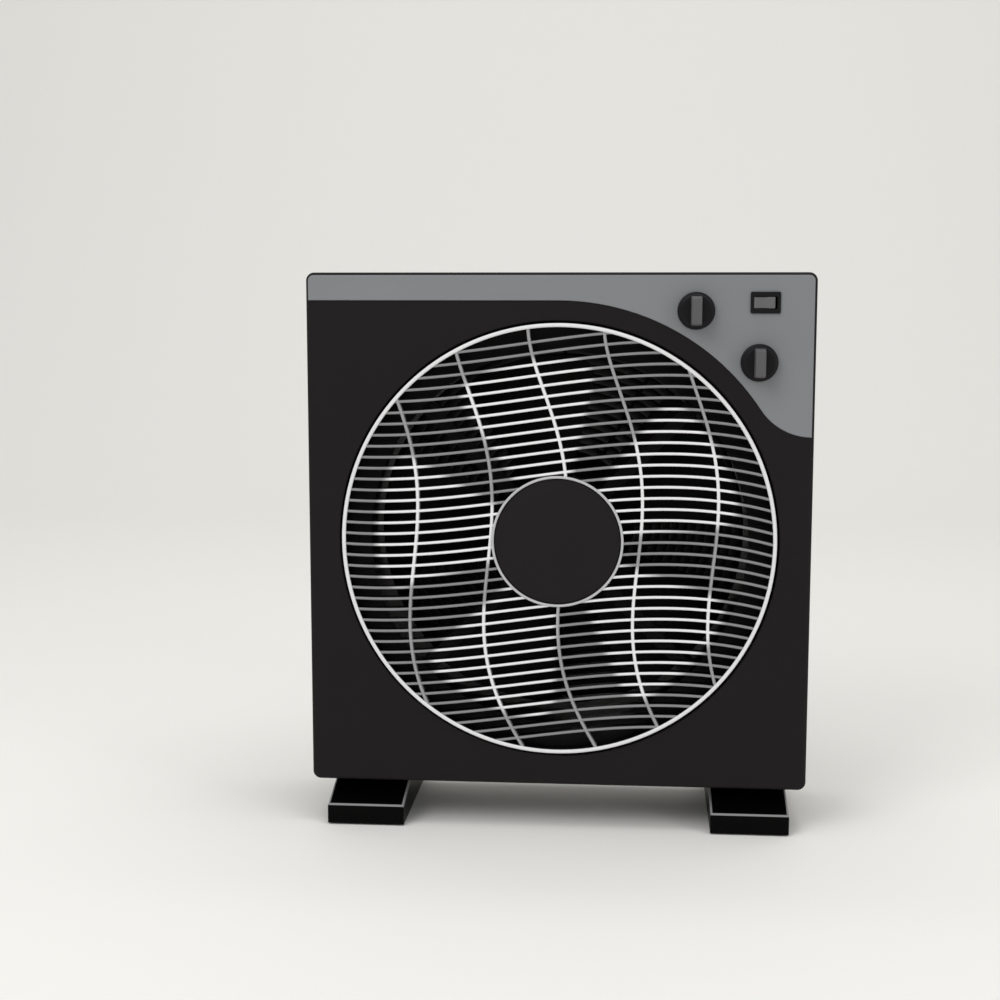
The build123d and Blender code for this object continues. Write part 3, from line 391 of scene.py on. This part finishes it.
# The stretches of a path of (x, z) points that lie between two circles, resampled evenly.
def stretchesBetween(path, inner, outer, step):
    radius = np.hypot(path[:, 0], path[:, 1])
    inside = (radius > inner) & (radius < outer)
    cuts = np.flatnonzero(np.diff(inside.astype(int))) + 1
    kept = []
    for stretch, flags in zip(np.split(path, cuts), np.split(inside, cuts)):
        if not flags[0] or len(stretch) <= 3:
            continue
        along = np.concatenate([[0], np.cumsum(np.linalg.norm(np.diff(stretch, axis=0), axis=1))])
        places = np.linspace(0, along[-1], max(3, int(along[-1] / step)))
        kept.append(np.stack([np.interp(places, along, column) for column in stretch.T], axis=1))
    return kept


# A bar along a path of (x, z) points: loop point = path + side * u, y = v, for each (u, v) of the outline.
def barAlong(path, outline):
    heading = np.gradient(path, axis=0)
    heading /= np.linalg.norm(heading, axis=1)[:, None]
    side = np.stack([-heading[:, 1], heading[:, 0]], axis=1)
    x = hub.x + path[:, None, 0] + side[:, None, 0] * outline[None, :, 0]
    z = hub.z + path[:, None, 1] + side[:, None, 1] * outline[None, :, 0]
    y = np.broadcast_to(outline[:, 1], x.shape)
    return loft(np.stack([x, y, z], axis=2))


# Outline of a bar with a round front, listed so that its two halves face each other.
def barOutline(width, front, back):
    half, paintEnd = width / 2, front + louverPlan["paintDepth"]
    rounding = half * 0.92
    return roundedOutline([
        (-half, back, 0), (-half, paintEnd, 0), (-half, front, rounding),
        (half, front, rounding), (half, paintEnd, 0), (half, back, 0),
    ], 4)


# The two paint attributes of a lump: coated in front of a depth y, and lit by the places given or one value.
def paintOf(lump, front, lit):
    depth = front + louverPlan["paintDepth"] - 0.1 * mm
    coated = (lump[0][:, 1] < depth).astype(float)
    return [("coated", coated), ("lit", np.broadcast_to(lit, len(coated)))]


# One painted lump of the louver as a piece, bright where lit says.
def addLouverPiece(name, lump, front, lit):
    addPiece(name, lump, "louver", "louver_silver", ["louver_wheel"], attributes=paintOf(lump, front, lit))


# Painted highlight of a lump's points from their places on the wheel.
def paintedHighlightOf(lump):
    return paintedHighlightAt(lump[0][:, 0] - hub.x, lump[0][:, 2] - hub.z)


wheelLow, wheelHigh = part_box("louver_wheel")
wheelRadius = (wheelHigh.x - wheelLow.x) / 2
wheelFront, wheelBack = wheelLow.y, wheelLow.y + louverPlan["ringDepth"]
slatFront = wheelFront + louverPlan["slatInset"]
slatBack = wheelFront + louverPlan["slatDepth"]
ringInside = wheelRadius - louverPlan["ringWidth"] / 2
hubInside = louverPlan["hubRadius"] - louverPlan["hubWidth"] / 2
sweep = np.linspace(-wheelRadius, wheelRadius, 3000)

slatShape = np.polyfit(*np.array(louverPlan["slatLean"]).T * mm, 4)
slatOutline = barOutline(louverPlan["slatWidth"], slatFront, slatBack)
slatBars = []
for row in range(louverPlan["slats"]):
    level = louverPlan["firstSlat"] - row * louverPlan["slatPitch"]
    path = np.stack([sweep, level + np.polyval(slatShape, sweep)], axis=1)
    for stretch in stretchesBetween(path, hubInside, ringInside, louverPlan["barStep"]):
        slatBars.append(barAlong(stretch, slatOutline))
slatLump = joined(slatBars)
addLouverPiece("louver_slats", slatLump, slatFront, paintedHighlightOf(slatLump))

ribShape = np.polyfit(*np.array(sorted(louverPlan["ribLean"])).T * mm, 5)
ribOutline = barOutline(louverPlan["ribWidth"], slatFront - louverPlan["ribProud"], slatBack)
ribBars = []
for column in range(louverPlan["ribs"]):
    start = louverPlan["ribMiddle"] + (column - louverPlan["ribs"] // 2) * louverPlan["ribPitch"]
    path = np.stack([start + np.polyval(ribShape, sweep), sweep], axis=1)
    for stretch in stretchesBetween(path, hubInside, ringInside, louverPlan["barStep"]):
        ribBars.append(barAlong(stretch, ribOutline))
ribLump = joined(ribBars)
leastLit = louverPlan["ribLeastLit"]
addLouverPiece("louver_ribs", ribLump, slatFront, leastLit + (1 - leastLit) * paintedHighlightOf(ribLump))


# A band between two radii with a rounded front and back edge.
def bandProfile(outer, inner, front, back, rounding):
    paintEnd = front + math.copysign(louverPlan["paintDepth"], back - front)
    return roundedOutline([
        (inner, back, rounding * 0.4), (outer, back, rounding * 0.4), (outer, paintEnd, 0),
        (outer, front, rounding), (inner, front, rounding), (inner, paintEnd, 0),
    ], 6)


wheelInside = wheelRadius - louverPlan["ringWidth"]
ringProfile = bandProfile(wheelRadius, wheelInside, wheelFront, wheelBack, louverPlan["ringRound"])
addLouverPiece("louver_ring", lathe(ringProfile, hub, 256), wheelFront, louverPlan["ringLit"])
hubRadius = louverPlan["hubRadius"]
hubRingInside = hubRadius - louverPlan["hubWidth"]
hubRingProfile = bandProfile(hubRadius, hubRingInside, wheelFront, slatBack, louverPlan["hubRound"])
discFront, discBack = wheelFront + louverPlan["discFront"], wheelFront + louverPlan["discBack"]
bossRadius, bossBack, bore = louverPlan["bossRadius"], wheelFront + louverPlan["bossBack"], louverPlan["bore"]
hubDiscProfile = [
    (bore, discFront), (hubInside, discFront), (hubInside, discBack),
    (bossRadius, discBack), (bossRadius, bossBack), (bore, bossBack),
]
hubLump = joined([lathe(hubRingProfile, hub, 160), lathe(hubDiscProfile, hub, 96)])
addLouverPiece("louver_hub", hubLump, wheelFront, louverPlan["hubLit"])
print("louver wheel is built")


# hub cap: a plain shallow dome over the middle of the louver

capPlan = {"rise": 4.5 * mm, "edgeRound": 1.2 * mm, "skirt": 2.0 * mm, "inside": 2.0 * mm, "points": 40}
capLow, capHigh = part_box("hub_cap")
capRadius = (capHigh.x - capLow.x) / 2
sphere = (capRadius ** 2 + capPlan["rise"] ** 2) / (2 * capPlan["rise"])
domeRadii = np.linspace(0.0, capRadius - capPlan["edgeRound"], capPlan["points"])
# dome depth at radius r is sphere - sqrt(sphere^2 - r^2)
domeY = capLow.y + sphere - np.sqrt(sphere ** 2 - domeRadii ** 2)
turn = np.radians(np.linspace(80, 0, 6))
edgeRadii = capRadius - capPlan["edgeRound"] * (1 - np.cos(turn))
edgeY = domeY[-1] + capPlan["edgeRound"] * (np.sin(turn[0]) - np.sin(turn))
skirtInside, capInside = capRadius - capPlan["skirt"], capHigh.y - capPlan["inside"]
domeFront = np.stack([np.concatenate([domeRadii, edgeRadii]), np.concatenate([domeY, edgeY])], axis=1)
capBack = [(capRadius, capHigh.y), (skirtInside, capHigh.y), (skirtInside, capInside), (0.0, capInside)]
capProfile = np.concatenate([domeFront, capBack])
addPiece("hub_cap_dome", lathe(capProfile, hub, 160), "louver", "cap_black", ["hub_cap"])
print("hub cap is built")


# knobs: a round body with a low skirt, and a bar across it to turn it by

knobPlan = {
    "skirt": 1.6 * mm, "skirtRise": 2.2 * mm, "skirtDrop": 0.6 * mm, "bore": 3.02 * mm,
    "footRound": 0.3 * mm, "skirtRound": 0.8 * mm, "hollowRound": 0.5 * mm, "edgeRound": 1.4 * mm,
    "gripRound": 0.9 * mm, "gripTaper": 0.9, "gripEnd": 1.2 * mm,
}


# A box with rounded ends whose front is narrower than its foot and rounded over along its edge:
# each outline at a depth is the foot's outline times its taper, less the edge's rounding there.
def gripLump(low, high, place):
    halfWidth, halfLength = (high.x - low.x) / 2, (high.z - low.z) / 2
    rounding = knobPlan["gripRound"]
    end = min(knobPlan["gripEnd"], halfWidth * 0.98)
    outline = roundedOutline([
        (-halfWidth, -halfLength, end), (halfWidth, -halfLength, end),
        (halfWidth, halfLength, end), (-halfWidth, halfLength, end),
    ], 8)
    outline = np.roll(outline, -4, axis=0)  # so that its two halves face each other
    turn = np.radians(np.linspace(0, 90, 7))
    depths = np.concatenate([[high.y], low.y + rounding * (1 - np.sin(turn))])
    taper = 1 - (1 - knobPlan["gripTaper"]) * (high.y - depths) / (high.y - low.y)
    shrink = np.concatenate([[0.0], rounding * (1 - np.cos(turn))])
    scale = taper[:, None, None] - shrink[:, None, None] / np.array([halfWidth, halfLength])
    flat = outline[None, :, :] * scale
    y = np.broadcast_to(depths[:, None], flat.shape[:2])
    return loft(np.stack([place.x + flat[:, :, 0], y, place.z + flat[:, :, 1]], axis=2))


for knob in ("timer_knob", "speed_knob"):
    knobLow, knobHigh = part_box(knob)
    place = middleOf(knob)
    knobRadius = (knobHigh.x - knobLow.x) / 2
    top, foot = knobLow.y, knobHigh.y
    body = knobRadius - knobPlan["skirt"]
    skirtTop = foot - knobPlan["skirtRise"]
    profile = roundedOutline([
        (knobPlan["bore"], foot, 0), (knobRadius, foot, knobPlan["footRound"]),
        (knobRadius, skirtTop, knobPlan["skirtRound"]),
        (body, skirtTop - knobPlan["skirtDrop"], knobPlan["hollowRound"]),
        (body, top, knobPlan["edgeRound"]), (knobPlan["bore"], top, 0),
    ], 6)
    addPiece(knob + "_body", lathe(profile, place, 96), knob, "knob_black", [knob])
    gripLow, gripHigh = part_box(knob + "_grip")
    addPiece(knob + "_bar", gripLump(gripLow, gripHigh, place), knob, "grip_grey", [knob + "_grip"])
print("knobs are built")


# fan blades: five twisted blades on a hub

bladePlan = {
    "blades": 5, "first": 29.5, "halfAngle": 23.5, "reach": 135.0 * mm, "root": 26.0 * mm,
    "corner": 16.0 * mm, "middle": -3.5 * mm, "thick": 2.0 * mm,
    "rootRise": 9.0 * mm, "tipRise": 16.0 * mm, "rootCamber": 1.5 * mm, "tipCamber": 5.0 * mm,
    "alongPoints": 40, "acrossPoints": 36,
    "hubFront": -14.0 * mm, "hubBack": 13.0 * mm, "hubRadius": 30.0 * mm, "hubRound": 5.0 * mm,
    "wall": 2.5 * mm, "floor": 4.0 * mm, "bossRadius": 9.0 * mm, "bossShort": 1.0 * mm, "bore": 4.02 * mm,
}


# One blade turned into place: y = middle + rise * t - camber * (1 - t^2), with t from edge to edge across it,
# and rise and camber growing from root to tip. The outer corners are cut round by the circle of the corner.
def bladeLump(turnDegrees):
    plan = bladePlan
    across = np.sin(np.linspace(-np.pi / 2, np.pi / 2, plan["acrossPoints"]))
    halfAngle = math.radians(plan["halfAngle"])
    gap = (1 - np.abs(across)) * halfAngle * plan["reach"]
    corner = plan["corner"]
    cut = corner - np.sqrt(np.maximum(corner ** 2 - np.maximum(corner - gap, 0) ** 2, 0))
    tip = plan["reach"] - cut
    radius = plan["root"] + (tip[None, :] - plan["root"]) * np.linspace(0, 1, plan["alongPoints"])[:, None]
    angle = across[None, :] * halfAngle
    x, side = radius * np.cos(angle), radius * np.sin(angle)
    grow = (x - plan["root"]) / (plan["reach"] + 2 * mm - plan["root"])
    rise = plan["rootRise"] + grow * (plan["tipRise"] - plan["rootRise"])
    camber = plan["rootCamber"] + grow * (plan["tipCamber"] - plan["rootCamber"])
    t = side / (1.1 * x * math.tan(halfAngle))
    y = plan["middle"] + rise * t - camber * (1 - t ** 2)
    spread = plan["thick"] / 2 * np.sqrt(np.maximum(1 - np.abs(across) ** 24, 0.05))
    bend = math.radians(turnDegrees)
    worldX = hub.x + x * math.cos(bend) - side * math.sin(bend)
    worldZ = hub.z + x * math.sin(bend) + side * math.cos(bend)
    front = np.stack([worldX, y - spread, worldZ], axis=2)
    back = np.stack([worldX, y + spread, worldZ], axis=2)[:, ::-1]
    return loft(np.concatenate([front, back], axis=1))


hubFront, hubBack, wallOut = bladePlan["hubFront"], bladePlan["hubBack"], bladePlan["hubRadius"]
wallIn, hollowFront = wallOut - bladePlan["wall"], hubFront + bladePlan["floor"]
bossOut, bossEnd, bore = bladePlan["bossRadius"], hubBack - bladePlan["bossShort"], bladePlan["bore"]
fanHubProfile = roundedOutline([
    (bore, hubFront, 0), (wallOut, hubFront, bladePlan["hubRound"]), (wallOut, hubBack, 0.6 * mm),
    (wallIn, hubBack, 0.6 * mm), (wallIn, hollowFront, 1 * mm),
    (bossOut, hollowFront, 1 * mm), (bossOut, bossEnd, 0.5 * mm), (bore, bossEnd, 0),
])
bladeTurn = 360 / bladePlan["blades"]
fanLumps = [bladeLump(bladePlan["first"] + blade * bladeTurn) for blade in range(bladePlan["blades"])]
fanLump = joined(fanLumps + [lathe(fanHubProfile, hub, 96)])
addPiece("fan_moulding", fanLump, "rotor", "blade_black", ["fan_blade"])
print("fan blades are built")


# rear guard: sloping rings and flat spokes between an outer flange and a plate over the motor

guardPlan = {
    "rings": 13, "start": 139.0 * mm, "pitch": 7.0 * mm, "thick": 2.0 * mm, "flare": 7.5 * mm,
    "flangeInside": 139.5 * mm, "flangeRound": 1.0 * mm, "backRound": 0.8 * mm, "frontRound": 0.7 * mm,
    "plate": 49.0 * mm, "plateThick": 3.0 * mm, "rim": 9.0 * mm, "rimSlope": 1.5 * mm, "dish": 1.0 * mm,
    "spokes": 12, "spokeWidth": 2.6 * mm, "spokeOverlap": 1.5 * mm,
}
guardLow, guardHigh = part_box("rear_guard")
guardFront, guardBack = guardLow.y, guardHigh.y
guardSeat = guardBack - guardPlan["plateThick"]
guardRadius = (guardHigh.x - guardLow.x) / 2
flangeInside = guardPlan["flangeInside"]
flangeProfile = bandProfile(guardRadius, flangeInside, guardBack, guardSeat, guardPlan["flangeRound"])
guardLumps = [lathe(flangeProfile, hub, 160)]
backRound, frontRound, flare = guardPlan["backRound"], guardPlan["frontRound"], guardPlan["flare"]
for ring in range(guardPlan["rings"]):
    inner = guardPlan["start"] - (ring + 1) * guardPlan["pitch"]
    outer = inner + guardPlan["thick"]
    ringProfile = roundedOutline([
        (inner, guardBack, backRound), (outer, guardBack, backRound),
        (outer + flare, guardFront, frontRound), (inner + flare, guardFront, frontRound),
    ], 4)
    guardLumps.append(lathe(ringProfile, hub, 128))
plate, dish = guardPlan["plate"], guardBack - guardPlan["dish"]
rim = plate - guardPlan["rim"]
nearAxis = 0.01 * mm  # the plate's middle closes to a point this small
plateProfile = roundedOutline([
    (nearAxis, guardSeat, 0), (plate, guardSeat, 0.4 * mm), (plate, guardBack, 1.2 * mm),
    (rim, guardBack, 1.0 * mm), (rim - guardPlan["rimSlope"], dish, 1.0 * mm), (nearAxis, dish, 0),
])
guardLumps.append(lathe(plateProfile, hub, 128))
halfSpoke = guardPlan["spokeWidth"] / 2
spokeOutline = roundedOutline([
    (-halfSpoke, guardFront, 0.5 * mm), (-halfSpoke, guardBack, 0.9 * mm),
    (halfSpoke, guardBack, 0.9 * mm), (halfSpoke, guardFront, 0.5 * mm),
], 4)
spokeEnds = plate - guardPlan["spokeOverlap"], flangeInside + 2.0 * mm
spokeReach = np.linspace(*spokeEnds, 12)[:, None]
for angle in np.arange(guardPlan["spokes"]) * 2 * math.pi / guardPlan["spokes"]:
    guardLumps.append(barAlong(spokeReach * [math.cos(angle), math.sin(angle)], spokeOutline))
addPiece("guard_moulding", joined(guardLumps), "housing", "guard_black", ["rear_guard"])
print("rear guard is built")


# rocker button: a concave cap that rests pressed in at one end

buttonPlan = {
    "half": 7.4 * mm, "height": 8.0 * mm, "edgeRound": 0.5 * mm, "rest": -8.0, "pivotY": -57.0 * mm,
    "faceY": -4.2 * mm, "sag": 1.3 * mm, "backEnd": -1.0 * mm, "backFlat": 3.5 * mm, "flatHalf": 4.0 * mm,
}
buttonMiddle = middleOf("rocker_button")
half, flatHalf, edgeRound = buttonPlan["half"], buttonPlan["flatHalf"], buttonPlan["edgeRound"]
faceX = np.linspace(-half, half, 25)
# face depth = faceY + sag * (1 - (x / half)^2)
faceY = buttonPlan["faceY"] + buttonPlan["sag"] * (1 - (faceX / half) ** 2)
backX = faceX[::-1]
backDepths = [buttonPlan["backEnd"], buttonPlan["backFlat"], buttonPlan["backFlat"], buttonPlan["backEnd"]]
backY = np.interp(backX, [-half, -flatHalf, flatHalf, half], backDepths)
loop = np.stack([np.concatenate([faceX, backX]), np.concatenate([faceY, backY])], axis=1)
turn = np.radians(np.linspace(-90, 90, 9))
lower, upper = turn[:5], turn[4:]
lowRows = -buttonPlan["height"] / 2 + edgeRound * (1 + np.sin(lower))
highRows = buttonPlan["height"] / 2 - edgeRound * (1 - np.sin(upper))
heights = np.concatenate([lowRows, highRows])
inset = edgeRound * (1 - np.concatenate([np.cos(lower), np.cos(upper)]))
shrunk = loop[None, :, :] * (1 - inset[:, None, None] / half)
rest = math.radians(buttonPlan["rest"])
buttonX = buttonMiddle.x + shrunk[:, :, 0] * math.cos(rest) - shrunk[:, :, 1] * math.sin(rest)
buttonY = buttonPlan["pivotY"] + shrunk[:, :, 0] * math.sin(rest) + shrunk[:, :, 1] * math.cos(rest)
buttonZ = np.broadcast_to(buttonMiddle.z + heights[:, None], buttonX.shape)
buttonLump = loft(np.stack([buttonX, buttonY, buttonZ], axis=2))
addPiece("rocker_cap", buttonLump, "rocker", "button_grey", ["rocker_button"])
print("rocker button is built")


# camera, light and ground

cameraPlan = {
    "place": (0.0589, -1.25, 0.405), "aim": (-0.0423, -0.058, 0.2491), "lens": 59.04, "sensor": 36,
}
cameraData = bpy.data.cameras.new("camera")
cameraData.lens = cameraPlan["lens"]
cameraData.sensor_width = cameraPlan["sensor"]
cameraObject = bpy.data.objects.new("camera", cameraData)
scene.collection.objects.link(cameraObject)
cameraObject.location = cameraPlan["place"]
toAim = Vector(cameraPlan["aim"]) - Vector(cameraPlan["place"])
cameraObject.rotation_euler = toAim.to_track_quat("-Z", "Y").to_euler()
scene.camera = cameraObject
scene.view_settings.view_transform = "Standard"

# name, place, aim, width, height, watts
lightPlan = [
    ("keyBox", (-1.1, -1.6, 1.7), (0, 0, 0.2), 1.2, 1.2, 16),
    ("topBox", (0.2, -0.4, 2.0), (0, -0.05, 0.2), 1.6, 1.0, 10),
    ("rightStrip", (1.5, -1.3, 0.7), (0, 0, 0.2), 0.4, 1.4, 5),
    ("wallWash", (0.0, 1.0, 3.2), (0, 3.0, 0.9), 4.0, 1.0, 22),
]
for name, place, aim, width, height, watts in lightPlan:
    lampData = bpy.data.lights.new(name, "AREA")
    lampData.shape = "RECTANGLE"
    lampData.size, lampData.size_y = width, height
    lampData.energy = watts
    lamp = bpy.data.objects.new(name, lampData)
    scene.collection.objects.link(lamp)
    lamp.location = place
    lamp.rotation_euler = (Vector(aim) - Vector(place)).to_track_quat("-Z", "Y").to_euler()

studioPlan = {"colour": "#F4F4F2", "strength": 0.62}
world = bpy.data.worlds.new("studio")
scene.world = world
world.use_nodes = True
background = world.node_tree.nodes["Background"]
background.inputs["Color"].default_value = hexColour(studioPlan["colour"])
background.inputs["Strength"].default_value = studioPlan["strength"]

# floor that curves up into a wall a little way behind the fan, so no line shows where they meet
floorPlan = {"front": -6.0, "bend": 1.6, "radius": 1.4, "top": 5.0, "half": 7.0, "colour": "#F0EFEC"}
# matt paint: even and without a shine
floorMaterial, _, floorShader = newMaterial("paintedFloor", Roughness=0.9, Specular_IOR_Level=0.1)
floorShader.inputs["Base Color"].default_value = hexColour(floorPlan["colour"])
bendTurn = np.radians(np.linspace(0, 90, 33))
bendY = floorPlan["bend"] + floorPlan["radius"] * np.sin(bendTurn)
bendZ = floorPlan["radius"] * (1 - np.cos(bendTurn))
floorY = np.concatenate([[floorPlan["front"]], bendY, [bendY[-1]]])
floorZ = np.concatenate([[0.0], bendZ, [floorPlan["top"]]])
left = np.stack([np.full(len(floorY), -floorPlan["half"]), floorY, floorZ], axis=1)
right = left * np.array([-1, 1, 1])
floorMesh = bpy.data.meshes.new("floor")
floorFaces = quadGrid(2, len(floorY)).tolist()
floorMesh.from_pydata(np.concatenate([right, left]).tolist(), [], floorFaces)
floorMesh.polygons.foreach_set("use_smooth", np.ones(len(floorFaces), bool))
floorMesh.materials.append(floorMaterial)
floorObject = bpy.data.objects.new("floor", floorMesh)
scene.collection.objects.link(floorObject)
print("camera, lights and floor are placed")
